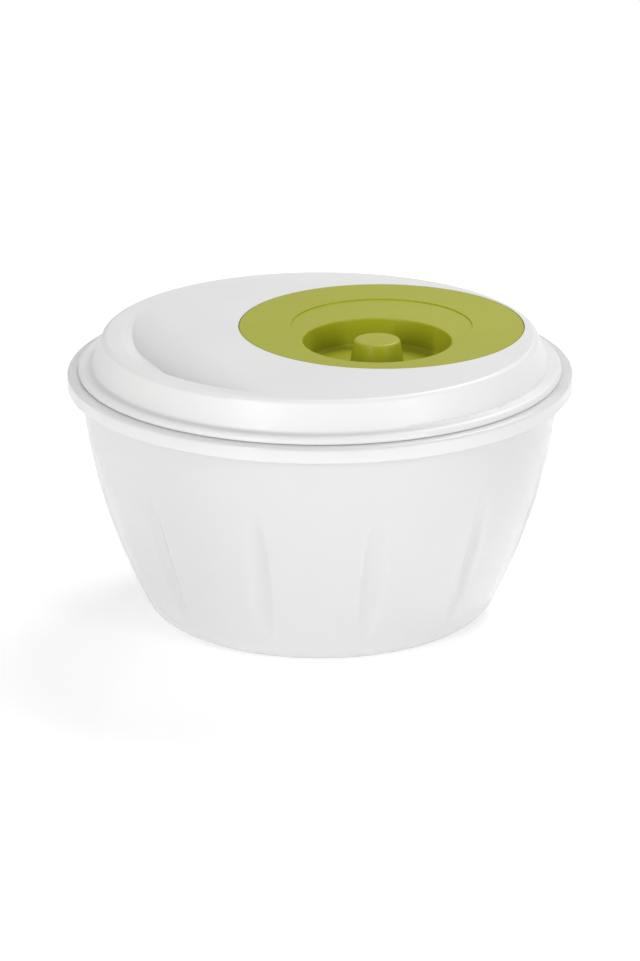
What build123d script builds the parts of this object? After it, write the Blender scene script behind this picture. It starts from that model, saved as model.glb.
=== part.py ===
from build123d import *
from math import asin, atan2, cos, pi, radians, sin, sqrt
import os

os.makedirs("parts", exist_ok=True)

# Salad spinner, assembled. Millimetres, +Z up.
# Origin: centre of the bowl's foot, on the table. The crank sits towards +X, the lid's scoop towards -X.

# General
plastic_wall = 2.2
running_gap = 0.05
seat_gap = 0.3
cut_margin = 2.0

# Bowl
bowl_height = 128.0
bowl_foot_outer_r = 82.5
bowl_foot_inner_r = 70.0
bowl_foot_recess = 0.8
bowl_floor = 2.6
bowl_corner_mid = (88.6, 3.2)
bowl_in_corner_mid = (87.4, 5.1)
bowl_wall_low = (92.5, 9.6)
bowl_wall_high = (122.9, 120.2)
bowl_wall_bulge = 5.4
bowl_rim_r = 130.0
bowl_rim_drop = 7.8
bowl_rim_edge_r = 1.6
bowl_boss_r = 11.0
bowl_boss_top_r = 9.0
bowl_boss_top = 6.5
flute_count = 12
flute_first_angle = 21.0
flute_low = 0.03
flute_high = 0.73
flute_depth = 1.9
flute_width = 11.5

# Pivot post of the bowl and its bush in the basket
pivot_r = 4.0
pivot_root = 1.6
pivot_top = 20.3
pivot_nose = 1.5
bush_r = 8.9
bush_bottom = 10.3
bush_shoulder = 12.4
bush_neck_r = 6.8
bush_top = 22.2
bush_roof = 20.6
retainer_inner_r = 7.1
retainer_outer_r = 9.6
retainer_low = 10.9
retainer_high = 12.0
retainer_split = 3.0

# Basket
basket_rim_top = 118.0
basket_bottom = 10.0
basket_wall = 2.0
basket_flat_r = 74.0
basket_corner_mid = (79.7, 13.2)
basket_in_corner_mid = (78.4, 14.7)
basket_wall_low = (82.0, 19.0)
basket_wall_high = (108.6, 115.0)
basket_wall_bulge = 3.2
basket_bead_r = 112.6
basket_bead_edge = 1.2
basket_hub_r = 11.4
basket_hub_top = 25.0
basket_hub_edge = 2.0
slot_columns = 36
slot_width = 4.2
slot_cut = 6.6
tall_slot_bottom = 35.0
tall_slot_top = 102.5
upper_slot_bottom = 54.0
upper_slot_top = 92.5
lower_slot_bottom = 25.5
lower_slot_top = 50.0
floor_ring_first_r = 24.0
floor_ring_step = 11.0
floor_ring_count = 5
floor_slot_length = 8.0
floor_slot_width = 2.8
floor_slot_pitch = 8.0

# Drive lugs just under the basket's rim
lug_count = 6
lug_top = 116.2
lug_bottom = 104.0
lug_tip_r = 102.7
lug_root_r = 107.4
lug_root_half = 4.0
lug_tip_half = 0.9
lug_low_tip_r = 104.4
lug_low_root_r = 105.2
lug_low_half = 0.6
dent_top = 115.0
dent_bottom = 104.6
dent_tip_r = 105.1
dent_open_r = 110.5
dent_open_half = 4.0
dent_tip_half = 0.3
dent_low_tip_r = 106.4
dent_low_open_r = 107.4
dent_low_half = 0.4

# Lid
lid_seat = bowl_height + seat_gap
lid_top = 146.5
lid_skirt_bottom = 122.5
lid_skirt_r = 119.6
lid_flange_r = 124.3
lid_flange_top = 131.5
lid_flange_edge = 0.8
lid_flange_shoulder = (123.6, 130.7)
lid_flange_flat_r = 121.8
lid_cove_r = 118.6
lid_cove_mid = (117.5, 132.0)
lid_wall_foot = (117.0, 133.2)
lid_wall_head = (112.4, 144.3)
lid_plateau_r = 109.4

# Scoop in the lid
scoop_edge_r = 103.0
scoop_mid = (99.2, 140.0)
scoop_foot = (89.0, 136.6)
scoop_crest_x = 60.0
scoop_floor_r = 42.0
scoop_wall_slope = 45.0
scoop_reach = 112.0

# Crank pocket in the lid
crank_x = 34.5
disc_r = 73.7
disc_gap = 0.3
disc_plate = 2.6
pocket_step_depth = 3.5
pocket_r = 66.0
pocket_floor = 128.4
glide_inner_r = 67.5
glide_outer_r = 72.5
glide_thickness = 0.6

# Crank disc
disc_step_r = 47.0
disc_step_depth = 0.6
disc_edge = 0.5
hollow_r = 38.0
hollow_offset = 24.5
hollow_angle = -119.0
hollow_depth = 15.0
hollow_lip = 1.5
hollow_corner = 1.5
crank_hub_r = 8.0
crank_square = 9.0
crank_square_bottom = 123.4

# Knob
knob_base_r = 14.25
knob_top_r = 11.7
knob_edge = 1.5
knob_pin_r = 3.0
knob_pin_head_r = 5.0
knob_pin_head = 1.2
knob_pin_top = 142.6
knob_pin_nose = 1.0
knob_bore_top = 143.2
clip_low = 133.0
clip_thickness = 0.8
clip_outer_r = 5.4
clip_inner_r = 2.6
clip_groove_r = 2.45
clip_mouth = 2.6

# Gear train
gear_module = 1.5
gear_pressure_angle = 25.0
drive_teeth = 34
pinion_teeth = 12
tooth_addendum = 1.2
tooth_dedendum = 1.5
tooth_thinning = 0.3
gear_top = 125.8
gear_bottom = 120.8
gear_recess_r = 6.8
gear_recess = 2.4
gear_hub_r = 10.5
gear_rim_inner_r = 20.5
gear_web_cut = 1.4
flank_steps = 6

# Bushes
crank_bush_r = 10.0
crank_bush_flange_r = 12.5
crank_bush_flange = 0.5
driver_bush_r = 9.0
driver_bush_flange_r = 10.0
driver_bush_flange = 0.3
pinion_shaft_r = 7.0
lid_post_r = 3.0
lid_post_bottom = 122.4

# Gear cover
cover_bottom = 118.6
cover_floor = 1.8
cover_wall = 1.6
cover_gear_r = 29.5
cover_pinion_r = 13.0
cover_ear_r = 5.2
cover_ear_bottom = 120.0
cover_ear_top = 121.8
cover_ear_reach = 34.8
cover_ear_angles = (10.0, 90.0, -90.0)
cover_far_ear_x = -18.0
boss_r = 3.9
boss_screw_top = 126.9
cover_screw_r = 1.3
cover_screw_head_r = 2.7
cover_screw_hole_r = 1.6

# Driver wheel under the lid
driver_top = 118.2
driver_bottom = 116.2
driver_ribs = 12
driver_rib_width = 1.8
driver_rib_top = 119.6
driver_rib_inner_r = 78.0
driver_hole_r = 5.0
driver_hole_circle_r = 82.0
driver_ring_r = 104.5
driver_ring_inner_r = 101.5
driver_ring_top = 121.0
driver_tooth_tip = 113.2
driver_tooth_root = 117.0
driver_teeth = 60
driver_gap_share = 0.5
driver_square = 9.0

# Screws and washers on the two shafts
shaft_screw_r = 2.0
shaft_screw_head_r = 4.0
shaft_screw_head = 1.4
shaft_screw_length = 5.0
washer_r = 6.2
washer_thickness = 0.8
washer_hole_r = 2.2
driver_washer_r = 10.0
drive_slot_width = 1.0
drive_slot_depth = 0.6
screw_head_edge_share = 0.3


def bulged(low, high, bulge, share):
    # Point on a wall that runs from low to high and swells outwards by bulge in the middle
    run = (high[0] - low[0], high[1] - low[1])
    length = sqrt(run[0] ** 2 + run[1] ** 2)
    swell = 4 * bulge * share * (1 - share)
    across = low[0] + run[0] * share + swell * run[1] / length
    up = low[1] + run[1] * share - swell * run[0] / length
    return (across, up)


def shifted(low, high, point, amount):
    # The same point moved square to the wall's chord, outwards for a positive amount
    run = (high[0] - low[0], high[1] - low[1])
    length = sqrt(run[0] ** 2 + run[1] ** 2)
    return (point[0] + amount * run[1] / length, point[1] - amount * run[0] / length)


def around(radius, angle):
    return (radius * cos(radians(angle)), radius * sin(radians(angle)))


def involute(base_r, radius):
    # Angle swept by an involute between its base circle and the given radius
    roll = sqrt(max((radius / base_r) ** 2 - 1, 0))
    return roll - atan2(roll, 1)


def gear_outline(teeth, first_angle):
    # Closed outline of a spur gear with involute flanks; one tooth is centred on first_angle
    pitch_r = gear_module * teeth / 2
    base_r = pitch_r * cos(radians(gear_pressure_angle))
    root_r = pitch_r - tooth_dedendum
    tip_r = pitch_r + tooth_addendum
    half_pitch_angle = (pi * gear_module - tooth_thinning) / (4 * pitch_r)
    half_at_base = half_pitch_angle + involute(base_r, pitch_r)
    start_r = max(base_r, root_r)
    points = []
    for tooth in range(teeth):
        middle = radians(first_angle) + 2 * pi * tooth / teeth
        flank = []
        for step in range(flank_steps + 1):
            radius = start_r + (tip_r - start_r) * step / flank_steps
            flank.append((radius, half_at_base - involute(base_r, radius)))
        rising = [(radius, middle - half) for radius, half in flank]
        falling = [(radius, middle + half) for radius, half in reversed(flank)]
        if root_r < base_r:
            rising.insert(0, (root_r, middle - half_at_base))
            falling.append((root_r, middle + half_at_base))
        for radius, angle in rising + falling:
            points.append((radius * cos(angle), radius * sin(angle)))
    return points


bowl_wall_mid = bulged(bowl_wall_low, bowl_wall_high, bowl_wall_bulge, 0.5)
bowl_in_low = shifted(bowl_wall_low, bowl_wall_high, bowl_wall_low, -plastic_wall)
bowl_in_mid = shifted(bowl_wall_low, bowl_wall_high, bowl_wall_mid, -plastic_wall)
bowl_in_high = shifted(bowl_wall_low, bowl_wall_high, bowl_wall_high, -plastic_wall)
bowl_mouth_r = bowl_in_high[0]

# Flute: a tube lying along the wall, its axis curved more gently than the wall
flute_tube_r = (flute_width ** 2 / 4 + flute_depth ** 2) / (2 * flute_depth)
flute_end_low = bulged(bowl_wall_low, bowl_wall_high, bowl_wall_bulge, flute_low)
flute_end_high = bulged(bowl_wall_low, bowl_wall_high, bowl_wall_bulge, flute_high)
flute_middle = bulged(bowl_wall_low, bowl_wall_high, bowl_wall_bulge, (flute_low + flute_high) / 2)
flute_axis_low = shifted(flute_end_low, flute_end_high, flute_end_low, flute_tube_r)
flute_axis_mid = shifted(flute_end_low, flute_end_high, flute_middle, flute_tube_r - flute_depth)
flute_axis_high = shifted(flute_end_low, flute_end_high, flute_end_high, flute_tube_r)

with BuildPart() as flute_outer:
    with BuildLine(Plane.XZ) as flute_path:
        ThreePointArc(flute_axis_low, flute_axis_mid, flute_axis_high)
    with BuildSketch(Plane(origin=flute_path.line @ 0, z_dir=flute_path.line % 0)):
        Circle(flute_tube_r)
    sweep(path=flute_path.line)

with BuildPart() as flute_inner:
    with BuildLine(Plane.XZ) as flute_inner_path:
        ThreePointArc(flute_axis_low, flute_axis_mid, flute_axis_high)
    with BuildSketch(Plane(origin=flute_inner_path.line @ 0, z_dir=flute_inner_path.line % 0)):
        Circle(flute_tube_r + plastic_wall)
    sweep(path=flute_inner_path.line)

# Hollow of the bowl, with the back of each flute standing into it
with BuildPart() as bowl_hollow:
    with BuildSketch(Plane.XZ):
        with BuildLine():
            Polyline((0, bowl_height + cut_margin), (0, bowl_floor), (bowl_foot_outer_r, bowl_floor))
            ThreePointArc((bowl_foot_outer_r, bowl_floor), bowl_in_corner_mid, bowl_in_low)
            ThreePointArc(bowl_in_low, bowl_in_mid, bowl_in_high)
            Polyline(
                bowl_in_high,
                (bowl_mouth_r, bowl_height + cut_margin),
                (0, bowl_height + cut_margin),
            )
        make_face()
    revolve(axis=Axis.Z)
    with PolarLocations(0, flute_count, start_angle=flute_first_angle):
        add(flute_inner.part, mode=Mode.SUBTRACT)

# Bowl: fluted wall, rolled rim with a down-turned lip, foot ring and a boss for the pivot post
with BuildPart() as bowl:
    with BuildSketch(Plane.XZ):
        with BuildLine():
            Polyline(
                (0, bowl_foot_recess),
                (bowl_foot_inner_r, bowl_foot_recess),
                (bowl_foot_inner_r, 0),
                (bowl_foot_outer_r, 0),
            )
            ThreePointArc((bowl_foot_outer_r, 0), bowl_corner_mid, bowl_wall_low)
            ThreePointArc(bowl_wall_low, bowl_wall_mid, bowl_wall_high)
            Polyline(
                bowl_wall_high,
                (bowl_wall_high[0], bowl_height - plastic_wall),
                (bowl_rim_r - plastic_wall, bowl_height - plastic_wall),
                (bowl_rim_r - plastic_wall, bowl_height - bowl_rim_drop),
                (bowl_rim_r, bowl_height - bowl_rim_drop),
                (bowl_rim_r, bowl_height - bowl_rim_edge_r),
            )
            RadiusArc(
                (bowl_rim_r, bowl_height - bowl_rim_edge_r),
                (bowl_rim_r - bowl_rim_edge_r, bowl_height),
                -bowl_rim_edge_r,
            )
            Polyline(
                (bowl_rim_r - bowl_rim_edge_r, bowl_height),
                (0, bowl_height),
                (0, bowl_foot_recess),
            )
        make_face()
    revolve(axis=Axis.Z)
    with PolarLocations(0, flute_count, start_angle=flute_first_angle):
        add(flute_outer.part, mode=Mode.SUBTRACT)
    add(bowl_hollow.part, mode=Mode.SUBTRACT)
    with BuildSketch(Plane.XY.offset(bowl_floor - bowl_foot_recess)):
        Circle(bowl_boss_r)
    with BuildSketch(Plane.XY.offset(bowl_boss_top)):
        Circle(bowl_boss_top_r)
    loft()
    with BuildSketch(Plane.XY.offset(pivot_root)):
        Circle(pivot_r)
    extrude(amount=bowl_boss_top, mode=Mode.SUBTRACT)
bowl.part.label = "bowl"
export_step(bowl.part, "parts/bowl.step")

# Pivot post: plain pin with a rounded nose, fixed in the bowl's boss
with BuildPart() as pivot_post:
    with BuildSketch(Plane.XY.offset(pivot_root)):
        Circle(pivot_r)
    extrude(amount=pivot_top - pivot_root)
    fillet(pivot_post.faces().sort_by(Axis.Z)[-1].edges(), pivot_nose)
pivot_post.part.label = "pivot_post"
export_step(pivot_post.part, "parts/pivot_post.step")

# Pivot bush: blind bore over the post, with a neck that the retaining ring holds
with BuildPart() as basket_bush:
    with BuildSketch(Plane.XZ):
        Polygon(
            (pivot_r + running_gap, bush_bottom),
            (bush_neck_r, bush_bottom),
            (bush_neck_r, bush_shoulder),
            (bush_r, bush_shoulder),
            (bush_r, bush_top),
            (0, bush_top),
            (0, bush_roof),
            (pivot_r + running_gap, bush_roof),
            align=None,
        )
    revolve(axis=Axis.Z)
basket_bush.part.label = "basket_bush"
export_step(basket_bush.part, "parts/basket_bush.step")

# Split ring snapped into the basket's hub under the bush's shoulder
with BuildPart() as bush_retaining_ring:
    with BuildSketch(Plane.XY.offset(retainer_low)):
        Circle(retainer_outer_r)
        Circle(retainer_inner_r, mode=Mode.SUBTRACT)
        with Locations((retainer_outer_r, 0)):
            Rectangle(2 * retainer_outer_r, retainer_split, mode=Mode.SUBTRACT)
    extrude(amount=retainer_high - retainer_low)
bush_retaining_ring.part.label = "bush_retaining_ring"
export_step(bush_retaining_ring.part, "parts/bush_retaining_ring.step")

basket_wall_mid = bulged(basket_wall_low, basket_wall_high, basket_wall_bulge, 0.5)
basket_in_low = shifted(basket_wall_low, basket_wall_high, basket_wall_low, -basket_wall)
basket_in_mid = shifted(basket_wall_low, basket_wall_high, basket_wall_mid, -basket_wall)
basket_in_high = shifted(basket_wall_low, basket_wall_high, basket_wall_high, -basket_wall)


def wall_slot_plane(bottom, top):
    # Plane square to the basket's wall, halfway up a slot, with its first axis along the slot
    span = basket_wall_high[1] - basket_wall_low[1]
    low_share = (bottom - basket_wall_low[1]) / span
    high_share = (top - basket_wall_low[1]) / span
    low = bulged(basket_wall_low, basket_wall_high, basket_wall_bulge, low_share)
    high = bulged(basket_wall_low, basket_wall_high, basket_wall_bulge, high_share)
    run = (high[0] - low[0], high[1] - low[1])
    middle = ((low[0] + high[0]) / 2, 0, (low[1] + high[1]) / 2)
    return Plane(origin=middle, x_dir=(run[0], 0, run[1]), z_dir=(run[1], 0, -run[0]))


def wall_slot_length(bottom, top):
    lean = (basket_wall_high[0] - basket_wall_low[0]) / (basket_wall_high[1] - basket_wall_low[1])
    return (top - bottom) * sqrt(1 + lean ** 2)


with BuildPart() as tall_slot:
    with BuildSketch(wall_slot_plane(tall_slot_bottom, tall_slot_top)):
        SlotOverall(wall_slot_length(tall_slot_bottom, tall_slot_top), slot_width)
    extrude(amount=slot_cut, both=True)

with BuildPart() as split_slots:
    with BuildSketch(wall_slot_plane(upper_slot_bottom, upper_slot_top)):
        SlotOverall(wall_slot_length(upper_slot_bottom, upper_slot_top), slot_width)
    extrude(amount=slot_cut, both=True)
    with BuildSketch(wall_slot_plane(lower_slot_bottom, lower_slot_top)):
        SlotOverall(wall_slot_length(lower_slot_bottom, lower_slot_top), slot_width)
    extrude(amount=slot_cut, both=True)

# Lug: wedge on the inside of the wall, widest at the top
with BuildPart() as lug:
    with BuildSketch(Plane.XY.offset(lug_bottom)):
        Polygon(
            (lug_low_root_r, -lug_low_half),
            (lug_low_root_r, lug_low_half),
            (lug_low_tip_r, lug_low_half / 2),
            (lug_low_tip_r, -lug_low_half / 2),
            align=None,
        )
    with BuildSketch(Plane.XY.offset(lug_top)):
        Polygon(
            (lug_root_r, -lug_root_half),
            (lug_root_r, lug_root_half),
            (lug_tip_r, lug_tip_half),
            (lug_tip_r, -lug_tip_half),
            align=None,
        )
    loft(ruled=True)

# Dent: the V on the outside behind each lug
with BuildPart() as dent:
    with BuildSketch(Plane.XY.offset(dent_bottom)):
        Polygon(
            (dent_low_open_r, -dent_low_half),
            (dent_low_open_r, dent_low_half),
            (dent_low_tip_r, dent_low_half / 2),
            (dent_low_tip_r, -dent_low_half / 2),
            align=None,
        )
    with BuildSketch(Plane.XY.offset(dent_top)):
        Polygon(
            (dent_open_r, -dent_open_half),
            (dent_open_r, dent_open_half),
            (dent_tip_r, dent_tip_half),
            (dent_tip_r, -dent_tip_half),
            align=None,
        )
    loft(ruled=True)

# Basket: slotted wall, perforated floor, beaded rim with drive lugs, hub for the pivot bush
with BuildPart() as basket:
    with BuildSketch(Plane.XZ):
        with BuildLine():
            Line((0, basket_bottom), (basket_flat_r, basket_bottom))
            ThreePointArc((basket_flat_r, basket_bottom), basket_corner_mid, basket_wall_low)
            ThreePointArc(basket_wall_low, basket_wall_mid, basket_wall_high)
            Polyline(
                basket_wall_high,
                (basket_bead_r - basket_bead_edge, basket_wall_high[1]),
                (basket_bead_r, basket_wall_high[1] + basket_bead_edge),
                (basket_bead_r, basket_rim_top - basket_bead_edge),
                (basket_bead_r - basket_bead_edge, basket_rim_top),
                (basket_in_high[0] + basket_bead_edge, basket_rim_top),
                (basket_in_high[0], basket_rim_top - basket_bead_edge),
                basket_in_high,
            )
            ThreePointArc(basket_in_high, basket_in_mid, basket_in_low)
            ThreePointArc(basket_in_low, basket_in_corner_mid, (basket_flat_r, basket_bottom + basket_wall))
            Polyline(
                (basket_flat_r, basket_bottom + basket_wall),
                (0, basket_bottom + basket_wall),
                (0, basket_bottom),
            )
        make_face()
    revolve(axis=Axis.Z)
    with BuildSketch(Plane.XY.offset(basket_bottom)):
        Circle(basket_hub_r)
    extrude(amount=basket_hub_top - basket_bottom)
    hub_top_faces = basket.faces().filter_by_position(
        Axis.Z, basket_hub_top - running_gap, basket_hub_top + running_gap
    )
    fillet(hub_top_faces.edges(), basket_hub_edge)
    with PolarLocations(0, lug_count):
        add(lug.part)
    with PolarLocations(0, lug_count):
        add(dent.part, mode=Mode.SUBTRACT)
    with BuildSketch(Plane.XY.offset(basket_bottom - cut_margin)):
        Circle(bush_r + running_gap)
    extrude(amount=bush_top + seat_gap - basket_bottom + cut_margin, mode=Mode.SUBTRACT)
    with BuildSketch(Plane.XY.offset(retainer_low)):
        Circle(retainer_outer_r)
    extrude(amount=retainer_high - retainer_low, mode=Mode.SUBTRACT)
    with PolarLocations(0, slot_columns):
        add(tall_slot.part, mode=Mode.SUBTRACT)
    with PolarLocations(0, slot_columns, start_angle=180 / slot_columns):
        add(split_slots.part, mode=Mode.SUBTRACT)
    with BuildSketch(Plane.XY.offset(basket_bottom - cut_margin)):
        for ring in range(floor_ring_count):
            ring_r = floor_ring_first_r + ring * floor_ring_step
            ring_slots = lug_count * round(2 * pi * ring_r / floor_slot_pitch / lug_count)
            with PolarLocations(ring_r, ring_slots):
                SlotOverall(floor_slot_length, floor_slot_width)
    extrude(amount=basket_wall + 2 * cut_margin, mode=Mode.SUBTRACT)
basket.part.label = "basket"
export_step(basket.part, "parts/basket.step")


def scoop_solid(grow):
    # Recess whose outer wall is turned about the lid's axis and whose floor rolls over into the plateau;
    # grow swells it by the wall thickness, for the space underneath
    foot = (scoop_foot[0], scoop_foot[1] - grow)
    slope = radians(scoop_wall_slope)
    mid = (scoop_mid[0] + grow * sin(slope), scoop_mid[1] - grow * cos(slope))
    edge = (scoop_edge_r + grow, lid_top)
    floor_r = scoop_floor_r - grow
    centre_z = lid_top - scoop_floor_r
    far_z = centre_z + sqrt(floor_r ** 2 - (scoop_foot[0] - scoop_crest_x) ** 2)
    half_turn = asin((scoop_foot[0] - scoop_crest_x) / floor_r) / 2
    with BuildPart(mode=Mode.PRIVATE) as recess:
        with BuildSketch(Plane.XZ):
            with BuildLine():
                Line((0, foot[1]), foot)
                ThreePointArc(foot, mid, edge)
                Polyline(edge, (edge[0], lid_top + cut_margin), (0, lid_top + cut_margin), (0, foot[1]))
            make_face()
        revolve(axis=Axis.Z)
        with BuildSketch(Plane.XZ.offset(-scoop_reach)):
            with BuildLine():
                Line((-scoop_crest_x, lid_top + cut_margin), (-scoop_crest_x, centre_z + floor_r))
                ThreePointArc(
                    (-scoop_crest_x, centre_z + floor_r),
                    (-scoop_crest_x - floor_r * sin(half_turn), centre_z + floor_r * cos(half_turn)),
                    (-scoop_foot[0], far_z),
                )
                Polyline(
                    (-scoop_foot[0], far_z),
                    (-scoop_foot[0], foot[1] - cut_margin),
                    (-scoop_reach, foot[1] - cut_margin),
                    (-scoop_reach, lid_top + cut_margin),
                    (-scoop_crest_x, lid_top + cut_margin),
                )
            make_face()
        extrude(amount=2 * scoop_reach, mode=Mode.INTERSECT)
    return recess.part


# Levels inside the crank pocket
disc_underside = lid_top - disc_plate
step_level = lid_top - pocket_step_depth
cavity_roof = lid_top - plastic_wall
step_underside = step_level - plastic_wall
pocket_underside = pocket_floor - plastic_wall
pocket_mouth_r = disc_r + disc_gap
hollow_floor = lid_top - hollow_depth
hollow_underside = hollow_floor - plastic_wall
hollow_centre = (
    crank_x + hollow_offset * cos(radians(hollow_angle)),
    hollow_offset * sin(radians(hollow_angle)),
)

# Space under the lid, shaped to leave an even wall everywhere
with BuildPart() as lid_hollow:
    with BuildSketch(Plane.XZ):
        Polygon(
            (0, lid_skirt_bottom - cut_margin),
            (lid_skirt_r - plastic_wall, lid_skirt_bottom - cut_margin),
            (lid_skirt_r - plastic_wall, lid_flange_top - plastic_wall),
            (lid_wall_foot[0] - plastic_wall, lid_wall_foot[1]),
            (lid_wall_head[0] - plastic_wall, lid_wall_head[1] - plastic_wall),
            (lid_plateau_r - plastic_wall / 2, cavity_roof),
            (0, cavity_roof),
            align=None,
        )
    revolve(axis=Axis.Z)
    with BuildSketch(Plane.XY.offset(step_underside)):
        with Locations((crank_x, 0)):
            Circle(pocket_mouth_r + plastic_wall)
    extrude(amount=pocket_step_depth + plastic_wall, mode=Mode.SUBTRACT)
    with BuildSketch(Plane.XY.offset(pocket_underside)):
        with Locations((crank_x, 0)):
            Circle(pocket_r + plastic_wall)
    extrude(amount=step_level - pocket_underside, mode=Mode.SUBTRACT)
    add(scoop_solid(plastic_wall), mode=Mode.SUBTRACT)

cover_ears = [(crank_x + around(cover_ear_reach, angle)[0], around(cover_ear_reach, angle)[1])
              for angle in cover_ear_angles]
cover_ears.append((cover_far_ear_x, 0))

# Lid: flange, sloping wall, flat plateau with the scoop and the stepped crank pocket,
# skirt that drops into the bowl, post for the pinion and bosses for the gear cover
with BuildPart() as lid_shell:
    with BuildSketch(Plane.XZ):
        with BuildLine():
            Polyline(
                (0, lid_skirt_bottom),
                (lid_skirt_r - plastic_wall / 2, lid_skirt_bottom),
                (lid_skirt_r, lid_skirt_bottom + plastic_wall),
                (lid_skirt_r, lid_seat),
                (lid_flange_r, lid_seat),
                (lid_flange_r, lid_seat + lid_flange_edge),
            )
            ThreePointArc(
                (lid_flange_r, lid_seat + lid_flange_edge),
                lid_flange_shoulder,
                (lid_flange_flat_r, lid_flange_top),
            )
            Line((lid_flange_flat_r, lid_flange_top), (lid_cove_r, lid_flange_top))
            ThreePointArc((lid_cove_r, lid_flange_top), lid_cove_mid, lid_wall_foot)
            Line(lid_wall_foot, lid_wall_head)
            TangentArc((lid_plateau_r, lid_top), lid_wall_head, tangent=(1, 0))
            Polyline((lid_plateau_r, lid_top), (0, lid_top), (0, lid_skirt_bottom))
        make_face()
    revolve(axis=Axis.Z)
    with BuildSketch(Plane.XY.offset(step_level)):
        with Locations((crank_x, 0)):
            Circle(pocket_mouth_r)
    extrude(amount=pocket_step_depth + cut_margin, mode=Mode.SUBTRACT)
    with BuildSketch(Plane.XY.offset(pocket_floor)):
        with Locations((crank_x, 0)):
            Circle(pocket_r)
    extrude(amount=step_level - pocket_floor, mode=Mode.SUBTRACT)
    add(scoop_solid(0), mode=Mode.SUBTRACT)
    add(lid_hollow.part, mode=Mode.SUBTRACT)
    with BuildSketch(Plane.XY.offset(pocket_underside)):
        with Locations((crank_x, 0)):
            Circle(crank_bush_r)
    extrude(amount=plastic_wall, mode=Mode.SUBTRACT)
    with BuildSketch(Plane.XY.offset(lid_post_bottom)):
        Circle(lid_post_r)
    extrude(amount=pocket_floor - lid_post_bottom)
    with BuildSketch(Plane.XY.offset(cover_ear_top)):
        with Locations(cover_ears):
            Circle(boss_r)
    extrude(amount=pocket_floor - cover_ear_top)
    with BuildSketch(Plane.XY.offset(cover_ear_top)):
        with Locations(cover_ears):
            Circle(cover_screw_r)
    extrude(amount=boss_screw_top - cover_ear_top, mode=Mode.SUBTRACT)
lid_shell.part.label = "lid_shell"
export_step(lid_shell.part, "parts/lid_shell.step")

# Crank bush: flanged sleeve in the pocket's floor
with BuildPart() as crank_bush:
    with BuildSketch(Plane.XY.offset(pocket_underside)):
        with Locations((crank_x, 0)):
            Circle(crank_bush_r)
            Circle(crank_hub_r + running_gap, mode=Mode.SUBTRACT)
    extrude(amount=plastic_wall)
    with BuildSketch(Plane.XY.offset(pocket_floor)):
        with Locations((crank_x, 0)):
            Circle(crank_bush_flange_r)
            Circle(crank_hub_r + running_gap, mode=Mode.SUBTRACT)
    extrude(amount=crank_bush_flange)
crank_bush.part.label = "crank_bush"
export_step(crank_bush.part, "parts/crank_bush.step")

# Glide ring on the pocket's step, under the disc's edge
with BuildPart() as crank_glide_ring:
    with BuildSketch(Plane.XY.offset(step_level)):
        with Locations((crank_x, 0)):
            Circle(glide_outer_r)
            Circle(glide_inner_r, mode=Mode.SUBTRACT)
    extrude(amount=glide_thickness)
crank_glide_ring.part.label = "crank_glide_ring"
export_step(crank_glide_ring.part, "parts/crank_glide_ring.step")

# Crank disc: shallow step on top, deep finger hollow, hub with a square end for the gear
with BuildPart() as crank_disc:
    with BuildSketch(Plane.XY.offset(disc_underside)):
        with Locations((crank_x, 0)):
            Circle(disc_r)
    extrude(amount=disc_plate)
    chamfer(crank_disc.edges().filter_by(GeomType.CIRCLE).sort_by(Axis.Z)[-1], disc_edge)
    with BuildSketch(Plane.XY.offset(lid_top - disc_step_depth)):
        with Locations((crank_x, 0)):
            Circle(disc_step_r)
    extrude(amount=disc_step_depth, mode=Mode.SUBTRACT)
    with BuildSketch(Plane.XY.offset(hollow_underside)):
        with Locations(hollow_centre):
            Circle(hollow_r + plastic_wall)
    extrude(amount=disc_underside - hollow_underside)
    with BuildSketch(Plane.XY.offset(pocket_underside)):
        with Locations((crank_x, 0)):
            Circle(crank_hub_r)
    extrude(amount=hollow_floor - pocket_underside)
    with BuildSketch(Plane.XY.offset(crank_square_bottom)):
        with Locations((crank_x, 0)):
            Rectangle(crank_square, crank_square)
    extrude(amount=pocket_underside - crank_square_bottom)
    with BuildSketch(Plane((hollow_centre[0], hollow_centre[1], 0), x_dir=(1, 0, 0), z_dir=(0, -1, 0))):
        with BuildLine():
            Line((0, hollow_floor), (hollow_r - hollow_corner, hollow_floor))
            RadiusArc(
                (hollow_r - hollow_corner, hollow_floor),
                (hollow_r, hollow_floor + hollow_corner),
                -hollow_corner,
            )
            Line((hollow_r, hollow_floor + hollow_corner), (hollow_r, lid_top - hollow_lip))
            RadiusArc(
                (hollow_r, lid_top - hollow_lip),
                (hollow_r + hollow_lip, lid_top),
                hollow_lip,
            )
            Polyline(
                (hollow_r + hollow_lip, lid_top),
                (hollow_r + hollow_lip, lid_top + cut_margin),
                (0, lid_top + cut_margin),
                (0, hollow_floor),
            )
        make_face()
    revolve(axis=Axis((hollow_centre[0], hollow_centre[1], 0), (0, 0, 1)), mode=Mode.SUBTRACT)
    with BuildSketch(Plane.XY.offset(hollow_underside)):
        with Locations(hollow_centre):
            Circle(knob_pin_head_r)
    extrude(amount=knob_pin_head, mode=Mode.SUBTRACT)
    with BuildSketch(Plane.XY.offset(hollow_underside)):
        with Locations(hollow_centre):
            Circle(knob_pin_r)
    extrude(amount=plastic_wall, mode=Mode.SUBTRACT)
    with BuildSketch(Plane.XY.offset(crank_square_bottom)):
        with Locations((crank_x, 0)):
            Circle(shaft_screw_r)
    extrude(amount=shaft_screw_length, mode=Mode.SUBTRACT)
crank_disc.part.label = "crank_disc"
export_step(crank_disc.part, "parts/crank_disc.step")

knob_bottom = hollow_floor + seat_gap
knob_plane = Plane((hollow_centre[0], hollow_centre[1], 0), x_dir=(1, 0, 0), z_dir=(0, -1, 0))
knob_axis = Axis((hollow_centre[0], hollow_centre[1], 0), (0, 0, 1))

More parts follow.
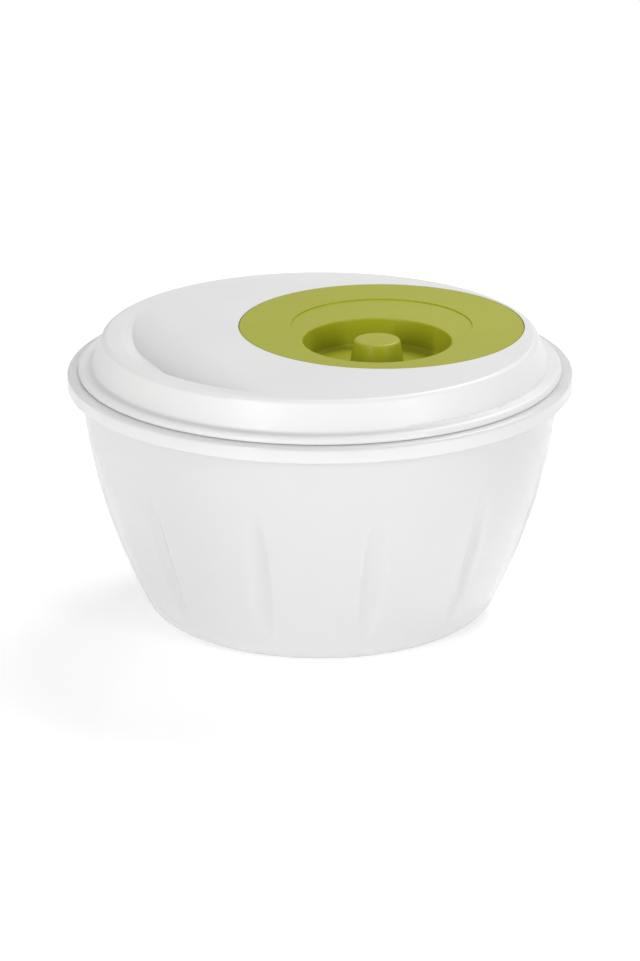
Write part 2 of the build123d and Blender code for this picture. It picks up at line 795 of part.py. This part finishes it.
# Knob pin: headed pin through the hollow's floor, with a groove for the snap ring
with BuildPart() as knob_pin:
    with BuildSketch(knob_plane):
        Polygon(
            (0, hollow_underside),
            (knob_pin_head_r, hollow_underside),
            (knob_pin_head_r, hollow_underside + knob_pin_head),
            (knob_pin_r, hollow_underside + knob_pin_head),
            (knob_pin_r, clip_low - seat_gap),
            (clip_groove_r, clip_low - seat_gap),
            (clip_groove_r, clip_low + clip_thickness + seat_gap),
            (knob_pin_r, clip_low + clip_thickness + seat_gap),
            (knob_pin_r, knob_pin_top - knob_pin_nose),
            (knob_pin_r - knob_pin_nose, knob_pin_top),
            (0, knob_pin_top),
            align=None,
        )
    revolve(axis=knob_axis)
knob_pin.part.label = "knob_pin"
export_step(knob_pin.part, "parts/knob_pin.step")

# Snap ring: sits in the knob's own groove and turns in the groove of the pin
with BuildPart() as knob_clip:
    with BuildSketch(Plane.XY.offset(clip_low)):
        with Locations(hollow_centre):
            Circle(clip_outer_r)
            Circle(clip_inner_r, mode=Mode.SUBTRACT)
        with Locations((hollow_centre[0] + clip_outer_r, hollow_centre[1])):
            Rectangle(2 * clip_outer_r, clip_mouth, mode=Mode.SUBTRACT)
    extrude(amount=clip_thickness)
knob_clip.part.label = "knob_clip"
export_step(knob_clip.part, "parts/knob_clip.step")

# Knob: tapered button with a rounded top edge, bored from below for the pin
with BuildPart() as knob:
    with BuildSketch(knob_plane):
        Polygon(
            (knob_pin_r + running_gap, knob_bottom),
            (knob_base_r, knob_bottom),
            (knob_top_r, lid_top),
            (0, lid_top),
            (0, knob_bore_top),
            (knob_pin_r + running_gap, knob_bore_top),
            (knob_pin_r + running_gap, clip_low + clip_thickness),
            (clip_outer_r, clip_low + clip_thickness),
            (clip_outer_r, clip_low),
            (knob_pin_r + running_gap, clip_low),
            align=None,
        )
    revolve(axis=knob_axis)
    fillet(knob.faces().sort_by(Axis.Z)[-1].edges(), knob_edge)
knob.part.label = "knob"
export_step(knob.part, "parts/knob.step")

# Drive gear on the crank's square end, recessed below for the washer and screw
with BuildPart() as drive_gear:
    with BuildSketch(Plane.XY.offset(gear_bottom)):
        with Locations((crank_x, 0)):
            Polygon(*gear_outline(drive_teeth, 180), align=None)
            Rectangle(crank_square, crank_square, mode=Mode.SUBTRACT)
    extrude(amount=gear_top - gear_bottom)
    with BuildSketch(Plane.XY.offset(gear_bottom)):
        with Locations((crank_x, 0)):
            Circle(gear_recess_r)
    extrude(amount=gear_recess, mode=Mode.SUBTRACT)
    with BuildSketch(Plane.XY.offset(gear_bottom)):
        with Locations((crank_x, 0)):
            Circle(gear_rim_inner_r)
            Circle(gear_hub_r, mode=Mode.SUBTRACT)
    extrude(amount=gear_web_cut, mode=Mode.SUBTRACT)
drive_gear.part.label = "drive_gear"
export_step(drive_gear.part, "parts/drive_gear.step")


def flat_washer(outer_r, hole_r, low, high, centre_x):
    with BuildPart(mode=Mode.PRIVATE) as washer:
        with BuildSketch(Plane.XY.offset(low)):
            with Locations((centre_x, 0)):
                Circle(outer_r)
                Circle(hole_r, mode=Mode.SUBTRACT)
        extrude(amount=high - low)
    return washer.part


def pan_screw(shank_r, head_r, head, length, head_bottom, centre_x):
    # Screw put in from below: pan head with a straight drive slot, shank pointing up
    with BuildPart(mode=Mode.PRIVATE) as screw:
        with BuildSketch(Plane.XY.offset(head_bottom)):
            with Locations((centre_x, 0)):
                Circle(head_r)
        extrude(amount=head)
        chamfer(screw.edges().filter_by(GeomType.CIRCLE).sort_by(Axis.Z)[0], head * screw_head_edge_share)
        with BuildSketch(Plane.XY.offset(head_bottom + head)):
            with Locations((centre_x, 0)):
                Circle(shank_r)
        extrude(amount=length)
        with BuildSketch(Plane.XY.offset(head_bottom)):
            with Locations((centre_x, 0)):
                Rectangle(2 * head_r, drive_slot_width)
        extrude(amount=drive_slot_depth, mode=Mode.SUBTRACT)
    return screw.part


crank_washer_top = gear_bottom + gear_recess
crank_washer_bottom = crank_washer_top - washer_thickness
with BuildPart() as crank_washer:
    add(flat_washer(washer_r, washer_hole_r, crank_washer_bottom, crank_washer_top, crank_x))
crank_washer.part.label = "crank_washer"
export_step(crank_washer.part, "parts/crank_washer.step")

with BuildPart() as crank_screw:
    add(pan_screw(
        shaft_screw_r, shaft_screw_head_r, shaft_screw_head, shaft_screw_length,
        crank_washer_bottom - shaft_screw_head, crank_x,
    ))
crank_screw.part.label = "crank_screw"
export_step(crank_screw.part, "parts/crank_screw.step")

# Pinion: bored for the lid's post above, round shaft in the driver bush, square end for the driver wheel
pinion_bore_top = lid_post_bottom - seat_gap
pinion_screw_top = driver_bottom + shaft_screw_length - washer_thickness
with BuildPart() as pinion:
    with BuildSketch(Plane.XY.offset(gear_bottom)):
        Polygon(*gear_outline(pinion_teeth, 180 / pinion_teeth), align=None)
    extrude(amount=gear_top - gear_bottom)
    with BuildSketch(Plane.XY.offset(driver_top)):
        Circle(pinion_shaft_r)
    extrude(amount=gear_bottom - driver_top)
    with BuildSketch(Plane.XY.offset(driver_bottom)):
        Rectangle(driver_square, driver_square)
    extrude(amount=driver_top - driver_bottom)
    with BuildSketch(Plane.XY.offset(pinion_bore_top)):
        Circle(lid_post_r + running_gap)
    extrude(amount=gear_top - pinion_bore_top, mode=Mode.SUBTRACT)
    with BuildSketch(Plane.XY.offset(driver_bottom)):
        Circle(shaft_screw_r)
    extrude(amount=pinion_screw_top - driver_bottom, mode=Mode.SUBTRACT)
pinion.part.label = "pinion"
export_step(pinion.part, "parts/pinion.step")

# Driver bush: thin flanged sleeve in the gear cover
cover_floor_top = cover_bottom + cover_floor
with BuildPart() as driver_bush:
    with BuildSketch(Plane.XY.offset(cover_bottom)):
        Circle(driver_bush_r)
        Circle(pinion_shaft_r + running_gap, mode=Mode.SUBTRACT)
    extrude(amount=cover_floor)
    with BuildSketch(Plane.XY.offset(cover_floor_top)):
        Circle(driver_bush_flange_r)
        Circle(pinion_shaft_r + running_gap, mode=Mode.SUBTRACT)
    extrude(amount=driver_bush_flange)
driver_bush.part.label = "driver_bush"
export_step(driver_bush.part, "parts/driver_bush.step")

# Gear cover: shallow tray round both gears, with four screw ears
with BuildPart() as gear_cover:
    with BuildSketch(Plane.XY.offset(cover_bottom)):
        with Locations((crank_x, 0)):
            Circle(cover_gear_r + cover_wall)
        Circle(cover_pinion_r + cover_wall)
        make_hull()
    extrude(amount=pocket_underside - cover_bottom)
    with BuildSketch(Plane.XY.offset(cover_ear_bottom)):
        with Locations(cover_ears):
            Circle(cover_ear_r)
    extrude(amount=cover_ear_top - cover_ear_bottom)
    with BuildSketch(Plane.XY.offset(cover_floor_top)):
        with Locations((crank_x, 0)):
            Circle(cover_gear_r)
        Circle(cover_pinion_r)
        make_hull()
    extrude(amount=pocket_underside - cover_floor_top, mode=Mode.SUBTRACT)
    with BuildSketch(Plane.XY.offset(cover_bottom)):
        with Locations(cover_ears):
            Circle(cover_screw_hole_r)
        Circle(driver_bush_r)
    extrude(amount=cover_ear_top - cover_bottom, mode=Mode.SUBTRACT)
    with BuildSketch(Plane.XY.offset(cover_bottom)):
        with Locations(cover_ears):
            Circle(cover_screw_head_r + seat_gap)
    extrude(amount=cover_ear_bottom - cover_bottom, mode=Mode.SUBTRACT)
    with BuildSketch(Plane.XY.offset(cover_ear_top)):
        with Locations(cover_ears):
            Circle(boss_r)
    extrude(amount=pocket_underside - cover_ear_top, mode=Mode.SUBTRACT)
gear_cover.part.label = "gear_cover"
export_step(gear_cover.part, "parts/gear_cover.step")

# Four cover screws
cover_screw_head = cover_ear_bottom - cover_bottom
cover_screw_reach = boss_screw_top - cover_ear_bottom - seat_gap
with BuildPart() as gear_cover_screws:
    for ear in cover_ears:
        with Locations((ear[0], ear[1], 0)):
            add(pan_screw(
                cover_screw_r, cover_screw_head_r, cover_screw_head, cover_screw_reach, cover_bottom, 0,
            ))
gear_cover_screws.part.label = "gear_cover_screws"
export_step(gear_cover_screws.part, "parts/gear_cover_screws.step")

# Driver wheel: disc with drain holes and stiffening ribs, and a deep ring whose lower edge
# is cut into square teeth
with BuildPart() as driver_wheel:
    with BuildSketch(Plane.XY.offset(driver_bottom)):
        Circle(driver_ring_r)
        Rectangle(driver_square, driver_square, mode=Mode.SUBTRACT)
        with PolarLocations(driver_hole_circle_r, driver_ribs, start_angle=180 / driver_ribs):
            Circle(driver_hole_r, mode=Mode.SUBTRACT)
    extrude(amount=driver_top - driver_bottom)
    with BuildSketch(Plane.XY.offset(driver_top)):
        with PolarLocations((driver_rib_inner_r + driver_ring_inner_r) / 2, driver_ribs):
            Rectangle(driver_ring_inner_r - driver_rib_inner_r, driver_rib_width)
    extrude(amount=driver_rib_top - driver_top)
    with BuildSketch(Plane.XY.offset(driver_tooth_tip)):
        Circle(driver_ring_r)
        Circle(driver_ring_inner_r, mode=Mode.SUBTRACT)
    extrude(amount=driver_ring_top - driver_tooth_tip)
    with BuildSketch(Plane.XY.offset(driver_tooth_tip)):
        with PolarLocations(driver_ring_r, driver_teeth):
            Rectangle(
                2 * (driver_ring_r - driver_ring_inner_r),
                driver_gap_share * 2 * pi * driver_ring_r / driver_teeth,
            )
    extrude(amount=driver_tooth_root - driver_tooth_tip, mode=Mode.SUBTRACT)
driver_wheel.part.label = "driver_wheel"
export_step(driver_wheel.part, "parts/driver_wheel.step")

driver_washer_bottom = driver_bottom - washer_thickness
with BuildPart() as driver_washer:
    add(flat_washer(driver_washer_r, washer_hole_r, driver_washer_bottom, driver_bottom, 0))
driver_washer.part.label = "driver_washer"
export_step(driver_washer.part, "parts/driver_washer.step")

with BuildPart() as driver_screw:
    add(pan_screw(
        shaft_screw_r, shaft_screw_head_r, shaft_screw_head, shaft_screw_length - seat_gap,
        driver_washer_bottom - shaft_screw_head, 0,
    ))
driver_screw.part.label = "driver_screw"
export_step(driver_screw.part, "parts/driver_screw.step")
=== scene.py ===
import math

import bmesh
import bpy
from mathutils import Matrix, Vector


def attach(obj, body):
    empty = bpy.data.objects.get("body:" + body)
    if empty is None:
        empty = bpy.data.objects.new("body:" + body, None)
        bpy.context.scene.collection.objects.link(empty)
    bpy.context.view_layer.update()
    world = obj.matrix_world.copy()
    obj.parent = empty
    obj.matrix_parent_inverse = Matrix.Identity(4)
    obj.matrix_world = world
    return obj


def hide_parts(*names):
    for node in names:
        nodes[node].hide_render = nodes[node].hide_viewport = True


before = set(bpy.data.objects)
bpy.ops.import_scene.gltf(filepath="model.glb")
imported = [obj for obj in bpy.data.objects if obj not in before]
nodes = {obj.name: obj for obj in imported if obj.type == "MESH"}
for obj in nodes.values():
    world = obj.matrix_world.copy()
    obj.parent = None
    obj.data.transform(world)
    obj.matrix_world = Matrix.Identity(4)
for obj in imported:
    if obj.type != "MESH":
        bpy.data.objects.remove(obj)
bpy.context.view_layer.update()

scene = bpy.context.scene

# ---------------------------------------------------------------- camera
view_azimuth = math.radians(-23.0)
view_elevation = math.radians(19.5)
camera_distance = 2.0
view_height = 0.50
sensor_size = 36.0
aim = Vector((0.0, 0.0, 0.066))
back = Vector((
    math.sin(view_azimuth) * math.cos(view_elevation),
    -math.cos(view_azimuth) * math.cos(view_elevation),
    math.sin(view_elevation),
))
camera_data = bpy.data.cameras.new("camera")
camera = bpy.data.objects.new("camera", camera_data)
scene.collection.objects.link(camera)
camera.location = aim + back * camera_distance
camera.rotation_mode = "QUATERNION"
camera.rotation_quaternion = (-back).to_track_quat("-Z", "Y")
camera_data.sensor_width = sensor_size
camera_data.lens = sensor_size * camera_distance / view_height
camera_data.clip_start = 0.05
camera_data.clip_end = 30.0
scene.camera = camera

# ---------------------------------------------------------------- materials
MOTTLE_LOW, MOTTLE_HIGH = 0.3, 0.7  # the stretch of a noise's values that most of a surface has
FLOW_LOW, FLOW_HIGH = 0.32, 0.68
GRAIN_HEIGHT = 0.0002
STREAK_HEIGHT = 0.0001
PLASTIC_IOR = 1.49
white_glow = (1.0, 1.0, 1.0)
green_glow = (0.9, 1.0, 0.2)
bearing_glow = (1.0, 1.0, 0.9)


def new_material(name):
    material = bpy.data.materials.new(name)
    material.use_nodes = True
    tree = material.node_tree
    shader = tree.nodes["Principled BSDF"]
    place = tree.nodes.new("ShaderNodeTexCoord").outputs["Object"]
    return material, tree, shader, place


def noise(tree, place, scale, detail, roughness=0.5):
    node = tree.nodes.new("ShaderNodeTexNoise")
    node.inputs["Scale"].default_value = scale
    node.inputs["Detail"].default_value = detail
    node.inputs["Roughness"].default_value = roughness
    tree.links.new(place, node.inputs["Vector"])
    return node.outputs["Fac"]


def colour_between(tree, value, shade, colour, low=MOTTLE_LOW, high=MOTTLE_HIGH):
    """Colour that runs from shade, where value is low, to colour, where it is high."""
    node = tree.nodes.new("ShaderNodeValToRGB")
    node.color_ramp.elements[0].position = low
    node.color_ramp.elements[1].position = high
    node.color_ramp.elements[0].color = (*shade, 1.0)
    node.color_ramp.elements[1].color = (*colour, 1.0)
    tree.links.new(value, node.inputs["Fac"])
    return node.outputs["Color"]


def number_between(tree, value, low, high):
    """Number that runs from low to high over the noise's usual stretch."""
    node = tree.nodes.new("ShaderNodeMapRange")
    node.inputs["To Min"].default_value = low
    node.inputs["To Max"].default_value = high
    node.inputs["From Min"].default_value = MOTTLE_LOW
    node.inputs["From Max"].default_value = MOTTLE_HIGH
    tree.links.new(value, node.inputs["Value"])
    return node.outputs["Result"]


def add_bump(tree, shader, height, strength, distance):
    bump = tree.nodes.new("ShaderNodeBump")
    bump.inputs["Strength"].default_value = strength
    bump.inputs["Distance"].default_value = distance
    tree.links.new(height, bump.inputs["Height"])
    tree.links.new(bump.outputs["Normal"], shader.inputs["Normal"])


def set_glow(shader, weight, tint, depth):
    """Light that enters the plastic and comes out again close by."""
    shader.inputs["Subsurface Weight"].default_value = weight
    shader.inputs["Subsurface Radius"].default_value = tint
    shader.inputs["Subsurface Scale"].default_value = depth


def moulded(name, colour, shade, roughness, grain_depth, glow, tint, grain_scale=1800.0, gloss=0.5):
    """Moulded plastic: faint flow marks in the colour, a fine spark-eroded grain, uneven gloss."""
    material, tree, shader, place = new_material(name)
    flow = noise(tree, place, scale=9.0, detail=3.0)
    blend = colour_between(tree, flow, shade, colour, FLOW_LOW, FLOW_HIGH)
    tree.links.new(blend, shader.inputs["Base Color"])
    smudge = noise(tree, place, scale=28.0, detail=4.0, roughness=0.6)
    tree.links.new(number_between(tree, smudge, *roughness), shader.inputs["Roughness"])
    grain = noise(tree, place, scale=grain_scale, detail=2.0)
    add_bump(tree, shader, grain, strength=grain_depth, distance=GRAIN_HEIGHT)
    shader.inputs["Specular IOR Level"].default_value = gloss
    shader.inputs["IOR"].default_value = PLASTIC_IOR
    set_glow(shader, weight=glow, tint=tint, depth=0.004)
    return material


def brushed(name, colour, roughness):
    """Turned and tumbled steel: fine streaks in the gloss."""
    material, tree, shader, place = new_material(name)
    stretch = tree.nodes.new("ShaderNodeMapping")
    stretch.inputs["Scale"].default_value = (1.0, 1.0, 12.0)
    tree.links.new(place, stretch.inputs["Vector"])
    streaks = noise(tree, stretch.outputs["Vector"], scale=900.0, detail=3.0)
    gloss = number_between(tree, streaks, roughness * 0.8, roughness * 1.3)
    tree.links.new(gloss, shader.inputs["Roughness"])
    shade = tuple(channel * 0.85 for channel in colour)
    tree.links.new(colour_between(tree, streaks, shade, colour), shader.inputs["Base Color"])
    add_bump(tree, shader, streaks, strength=0.15, distance=STREAK_HEIGHT)
    shader.inputs["Metallic"].default_value = 1.0
    return material


def frosted(name, colour, shade):
    """Milky translucent polypropylene: light passes, shapes behind it blur."""
    material, tree, shader, place = new_material(name)
    cloud = noise(tree, place, scale=7.0, detail=3.0)
    tree.links.new(colour_between(tree, cloud, shade, colour), shader.inputs["Base Color"])
    haze = noise(tree, place, scale=30.0, detail=4.0, roughness=0.6)
    tree.links.new(number_between(tree, haze, low=0.38, high=0.5), shader.inputs["Roughness"])
    grain = noise(tree, place, scale=2200.0, detail=2.0)
    add_bump(tree, shader, grain, strength=0.06, distance=GRAIN_HEIGHT)
    shader.inputs["Transmission Weight"].default_value = 0.35
    shader.inputs["Coat Weight"].default_value = 0.6
    shader.inputs["Coat Roughness"].default_value = 0.1
    shader.inputs["Coat IOR"].default_value = 1.4
    shader.inputs["IOR"].default_value = 1.3
    shader.inputs["Specular IOR Level"].default_value = 0.5
    set_glow(shader, weight=0.2, tint=white_glow, depth=0.006)
    return material


green = moulded(
    "green_plastic", colour=(0.405, 0.425, 0.02), shade=(0.38, 0.40, 0.016),
    roughness=(0.32, 0.42), grain_depth=0.08, glow=0.12, tint=green_glow, gloss=0.28,
)
green_basket = moulded(
    "green_basket_plastic", colour=(0.33, 0.365, 0.028), shade=(0.30, 0.335, 0.022),
    roughness=(0.30, 0.42), grain_depth=0.08, glow=0.2, tint=green_glow, gloss=0.4,
)
white = moulded(
    "white_plastic", colour=(0.80, 0.80, 0.795), shade=(0.78, 0.78, 0.778),
    roughness=(0.37, 0.47), grain_depth=0.06, glow=0.1, tint=white_glow,
)
acetal = moulded(
    "bearing_plastic", colour=(0.72, 0.72, 0.68), shade=(0.68, 0.68, 0.64),
    roughness=(0.45, 0.6), grain_depth=0.12, glow=0.1, tint=bearing_glow, grain_scale=2500.0,
)
steel = brushed("stainless_steel", colour=(0.62, 0.62, 0.63), roughness=0.28)
bowl_plastic = frosted("frosted_plastic", colour=(0.92, 0.92, 0.92), shade=(0.89, 0.893, 0.896))

finishes = [
    (bowl_plastic, ["bowl"]),
    (green_basket, ["basket"]),
    (green, ["crank_disc", "knob"]),
    (white, ["lid_shell", "driver_wheel", "gear_cover"]),
    (acetal, ["basket_bush", "bush_retaining_ring", "crank_bush", "crank_glide_ring"]),
    (acetal, ["driver_bush", "drive_gear", "pinion"]),
    (steel, ["pivot_post", "gear_cover_screws", "crank_washer", "crank_screw"]),
    (steel, ["knob_pin", "knob_clip", "driver_washer", "driver_screw"]),
]
for material, names in finishes:
    for name in names:
        mesh = nodes[name].data
        mesh.materials.clear()
        mesh.materials.append(material)

# ---------------------------------------------------------------- bowl
# Millimetres and degrees. A point of the outline is radius, height.
MM = 0.001
bowl_height = 128.0
bowl_plastic_wall = 2.2

# Underside and foot ring
foot_recess = 0.8
recess_flat_r = 68.6
foot_inner_r = 70.0
foot_root_round = 0.4
foot_edge_round = 0.6
foot_flat_r = 76.0
foot_outer_r = 82.5
corner_mid = (88.6, 3.2)

# Wall
wall_low = (92.5, 9.6)
wall_high = (122.9, 120.2)
wall_bulge = 5.4
outer_steps = 50
inner_steps = 28

# Rolled rim
rim_r = 130.0
rim_bottom = bowl_height - 7.8
rim_inside_top = bowl_height - bowl_plastic_wall
rim_inside_r = rim_r - bowl_plastic_wall
rim_root_round = 1.2
rim_inside_round = 1.0
lip_inner_round = 0.5
lip_outer_round = 0.6
rim_side_mid = bowl_height - 4.5
rim_edge_round = 1.6
rim_flat_r = 125.5
mouth_round = 0.9
mouth_bottom = 123.5

# Floor, boss and the hole for the pivot post
floor_top = 2.6
inner_corner_mid = (87.4, 5.1)
floor_flat_r = 81.0
floor_rings = (60.0, 30.0, 13.5)
boss_r = 11.0
boss_root_round = 1.2
boss_shoulder = (9.4, 5.9)
boss_top = 6.5
boss_edge_round = 0.8
boss_edge_r = 8.6
post_hole_r = 4.0
post_hole_edge = 0.25
post_hole_bottom = 1.6

# Flutes: lens-shaped hollows in the wall, as if pressed in by a tube
flute_count = 12
flute_first = 21.0
flute_low, flute_high = 0.03, 0.73
flute_depth = 1.9
flute_width = 11.5
flute_edge_softness = 0.004
flute_least = 0.02
flute_pitch = 360.0 / flute_count
flute_tube_r = (flute_width ** 2 / 4 + flute_depth ** 2) / (2 * flute_depth)
wall_lean = math.atan2(wall_high[0] - wall_low[0], wall_high[1] - wall_low[1])

# An outline point nearer to the axis than this becomes one vertex
on_axis = 1e-6

# Sections round the bowl, closer together across a flute than between two
fine_step, fine_count, fine_from = 0.25, 33, -4.0
wide_step = 1.8
wide_count_before, wide_count_after, wide_from_after = 6, 5, 6.0


def bulged(share, inset=0.0):
    """Point on the wall at a share of its height; inset moves it inwards."""
    run = (wall_high[0] - wall_low[0], wall_high[1] - wall_low[1])
    length = math.hypot(*run)
    swell = 4 * wall_bulge * share * (1 - share) - inset
    return (
        wall_low[0] + run[0] * share + swell * run[1] / length,
        wall_low[1] + run[1] * share - swell * run[0] / length,
    )


def arc_points(centre, radius, start, end, steps):
    """Points of a round edge, from one angle to the other."""
    points = []
    for step in range(steps + 1):
        angle = math.radians(start + (end - start) * step / steps)
        points.append((centre[0] + radius * math.cos(angle), centre[1] + radius * math.sin(angle)))
    return points


def three_point_arc(a, b, c, steps):
    """Points of the arc through a, b and c."""
    d = 2 * (a[0] * (b[1] - c[1]) + b[0] * (c[1] - a[1]) + c[0] * (a[1] - b[1]))
    qa, qb, qc = (p[0] ** 2 + p[1] ** 2 for p in (a, b, c))
    centre = (
        (qa * (b[1] - c[1]) + qb * (c[1] - a[1]) + qc * (a[1] - b[1])) / d,
        (qa * (c[0] - b[0]) + qb * (a[0] - c[0]) + qc * (b[0] - a[0])) / d,
    )
    radius = math.hypot(a[0] - centre[0], a[1] - centre[1])
    first = math.degrees(math.atan2(a[1] - centre[1], a[0] - centre[0]))
    last = math.degrees(math.atan2(c[1] - centre[1], c[0] - centre[0]))
    turn = (last - first + 180) % 360 - 180
    return arc_points(centre, radius, first, first + turn, steps)


def foot_outline():
    """From the axis across the recessed underside, over the foot ring and up to the wall."""
    recess_r = foot_inner_r - foot_root_round
    edge_r = foot_inner_r + foot_edge_round
    points = [(0.0, foot_recess), (foot_inner_r / 2, foot_recess), (recess_flat_r, foot_recess)]
    points += arc_points((recess_r, foot_recess - foot_root_round), foot_root_round, 90, 0, steps=3)
    points += arc_points((edge_r, foot_edge_round), foot_edge_round, 180, 270, steps=4)
    points.append((foot_flat_r, 0.0))
    return points + three_point_arc((foot_outer_r, 0.0), corner_mid, wall_low, steps=12)[:-1]


def rim_outline():
    """From the top of the wall's outside, under and over the rolled rim, to the mouth."""
    root = (wall_high[0] + rim_root_round, rim_inside_top - rim_root_round)
    inside = (rim_inside_r - rim_inside_round, rim_inside_top - rim_inside_round)
    lip_inner = (rim_inside_r + lip_inner_round, rim_bottom + lip_inner_round)
    lip_outer = (rim_r - lip_outer_round, rim_bottom + lip_outer_round)
    top_edge = (rim_r - rim_edge_round, bowl_height - rim_edge_round)
    mouth_r = bulged(1.0, bowl_plastic_wall)[0]
    mouth_edge = (mouth_r + mouth_round, bowl_height - mouth_round)
    points = arc_points(root, rim_root_round, 180, 90, steps=5)
    points += arc_points(inside, rim_inside_round, 90, 0, steps=5)
    points += arc_points(lip_inner, lip_inner_round, 180, 270, steps=4)
    points += arc_points(lip_outer, lip_outer_round, 270, 360, steps=5)
    points.append((rim_r, rim_side_mid))
    points += arc_points(top_edge, rim_edge_round, 0, 90, steps=8)
    points.append((rim_flat_r, bowl_height))
    points += arc_points(mouth_edge, mouth_round, 90, 180, steps=6)
    points.append((mouth_r, mouth_bottom))
    return points


def floor_outline():
    """From the foot of the wall's inside, across the floor and over the boss, into the post's hole."""
    wall_foot = bulged(0.0, bowl_plastic_wall)
    boss_root = (boss_r + boss_root_round, floor_top + boss_root_round)
    boss_edge = (boss_edge_r, boss_top - boss_edge_round)
    points = three_point_arc(wall_foot, inner_corner_mid, (floor_flat_r, floor_top), steps=10)[1:]
    points += [(ring_r, floor_top) for ring_r in floor_rings]
    points += arc_points(boss_root, boss_root_round, 270, 190, steps=5)
    points.append(boss_shoulder)
    points += arc_points(boss_edge, boss_edge_round, 20, 90, steps=5)
    points += [(post_hole_r + post_hole_edge, boss_top), (post_hole_r, boss_top - post_hole_edge)]
    points += [(post_hole_r, post_hole_bottom), (0.0, post_hole_bottom)]
    return points


def bowl_outline():
    """Radius, height, and the share of the wall's height where a flute can be, or None off the wall."""
    points = [(*point, None) for point in foot_outline()]
    for step in range(outer_steps + 1):
        share = step / outer_steps
        points.append((*bulged(share), share))
    points += [(*point, None) for point in rim_outline()]
    for step in range(inner_steps, -1, -1):
        share = step / inner_steps
        points.append((*bulged(share, bowl_plastic_wall), share))
    return points + [(*point, None) for point in floor_outline()]


def section_angles():
    """Where the sections stand round the bowl, flute by flute."""
    angles = []
    for flute in range(flute_count):
        middle = flute_first + flute_pitch * flute
        angles += [middle - flute_pitch / 2 + wide_step * k for k in range(wide_count_before)]
        angles += [middle + fine_from + fine_step * k for k in range(fine_count)]
        angles += [middle + wide_from_after + wide_step * k for k in range(wide_count_after)]
    return angles


def flute_inset(angle, share, radius):
    """How far the nearest flute presses the wall in."""
    off = (angle - flute_first + flute_pitch / 2) % flute_pitch - flute_pitch / 2
    along = (share - (flute_low + flute_high) / 2) / (flute_high - flute_low) * 2
    across = math.radians(off) * radius
    dip = flute_depth * (1 - along * along) - across * across / (2 * flute_tube_r)
    inset = 0.5 * (dip + math.sqrt(dip * dip + flute_edge_softness))
    return inset if inset >= flute_least else 0.0


def add_ring(form, radius, height, share, angles):
    """Vertices of one outline point carried round the axis; a point on the axis is one vertex."""
    if radius < on_axis:
        return [form.verts.new((0.0, 0.0, height * MM))]
    ring = []
    for angle in angles:
        inset = 0.0 if share is None else flute_inset(angle, share, radius)
        flute_r = (radius - inset * math.cos(wall_lean)) * MM
        level = (height + inset * math.sin(wall_lean)) * MM
        turn = math.radians(angle)
        ring.append(form.verts.new((flute_r * math.cos(turn), flute_r * math.sin(turn), level)))
    return ring


def join_rings(form, below, above, count):
    """Faces between two rings, or between a ring and a vertex on the axis."""
    for k in range(count):
        n = (k + 1) % count
        if len(below) == 1:
            form.faces.new((below[0], above[n], above[k]))
        elif len(above) == 1:
            form.faces.new((below[k], below[n], above[0]))
        else:
            form.faces.new((below[k], below[n], above[n], above[k]))


def bowl_mesh():
    """Thin fluted wall with a rolled rim, turned about the bowl's axis."""
    mesh = bpy.data.meshes.new("bowl_body")
    form = bmesh.new()
    angles = section_angles()
    rings = [add_ring(form, *point, angles) for point in bowl_outline()]
    for below, above in zip(rings, rings[1:]):
        join_rings(form, below, above, len(angles))
    bmesh.ops.recalc_face_normals(form, faces=form.faces)
    for face in form.faces:
        face.smooth = True
    form.to_mesh(mesh)
    form.free()
    return mesh


bowl_body = bpy.data.objects.new("bowl_body", bowl_mesh())
scene.collection.objects.link(bowl_body)
bowl_body.data.materials.append(bowl_plastic)
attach(bowl_body, "bowl")
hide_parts("bowl")

# ---------------------------------------------------------------- floor
floor_reach = 60.0
floor_cells = 24
floor_level = -0.0002


def floor_mesh():
    """Flat ground, a hair below the object's foot."""
    mesh = bpy.data.meshes.new("floor")
    form = bmesh.new()
    bmesh.ops.create_grid(form, x_segments=floor_cells, y_segments=floor_cells, size=floor_reach)
    for corner in form.verts:
        corner.co.z = floor_level
    form.to_mesh(mesh)
    form.free()
    return mesh


def floor_finish():
    """Pale satin board with faint clouds, lifted a little by its own light."""
    material, tree, shader, place = new_material("floor")
    cloud = noise(tree, place, scale=1.5, detail=2.0)
    blend = colour_between(tree, cloud, shade=(0.90, 0.90, 0.90), colour=(0.92, 0.92, 0.92))
    tree.links.new(blend, shader.inputs["Base Color"])
    shader.inputs["Roughness"].default_value = 0.16
    shader.inputs["Emission Color"].default_value = (1.0, 1.0, 1.0, 1.0)
    shader.inputs["Emission Strength"].default_value = 0.32
    shader.inputs["Specular IOR Level"].default_value = 0.35
    return material


floor = bpy.data.objects.new("floor", floor_mesh())
scene.collection.objects.link(floor)
floor.data.materials.append(floor_finish())


# ---------------------------------------------------------------- light
def soft_light(name, place, target, width, height, power):
    """Rectangular lamp at place that faces target."""
    data = bpy.data.lights.new(name, "AREA")
    data.shape = "RECTANGLE"
    data.size = width
    data.size_y = height
    data.energy = power
    lamp = bpy.data.objects.new(name, data)
    scene.collection.objects.link(lamp)
    lamp.location = place
    lamp.rotation_mode = "QUATERNION"
    lamp.rotation_quaternion = (Vector(target) - Vector(place)).to_track_quat("-Z", "Y")


side_target = (0, 0, 0.07)
lid_target = (0, 0, 0.08)
soft_light("left_light", (-1.55, -1.1, 0.45), side_target, width=0.14, height=1.1, power=16.0)
soft_light("right_light", (0.75, -1.8, 0.4), side_target, width=0.12, height=1.1, power=12.5)
soft_light("top_light", (0.9, 0.7, 1.5), lid_target, width=1.0, height=0.8, power=17.0)

world = bpy.data.worlds.new("studio")
scene.world = world
world.use_nodes = True
background = world.node_tree.nodes["Background"]
background.inputs["Color"].default_value = (1.0, 1.0, 1.0, 1.0)
background.inputs["Strength"].default_value = 0.49
scene.view_settings.view_transform = "Standard"
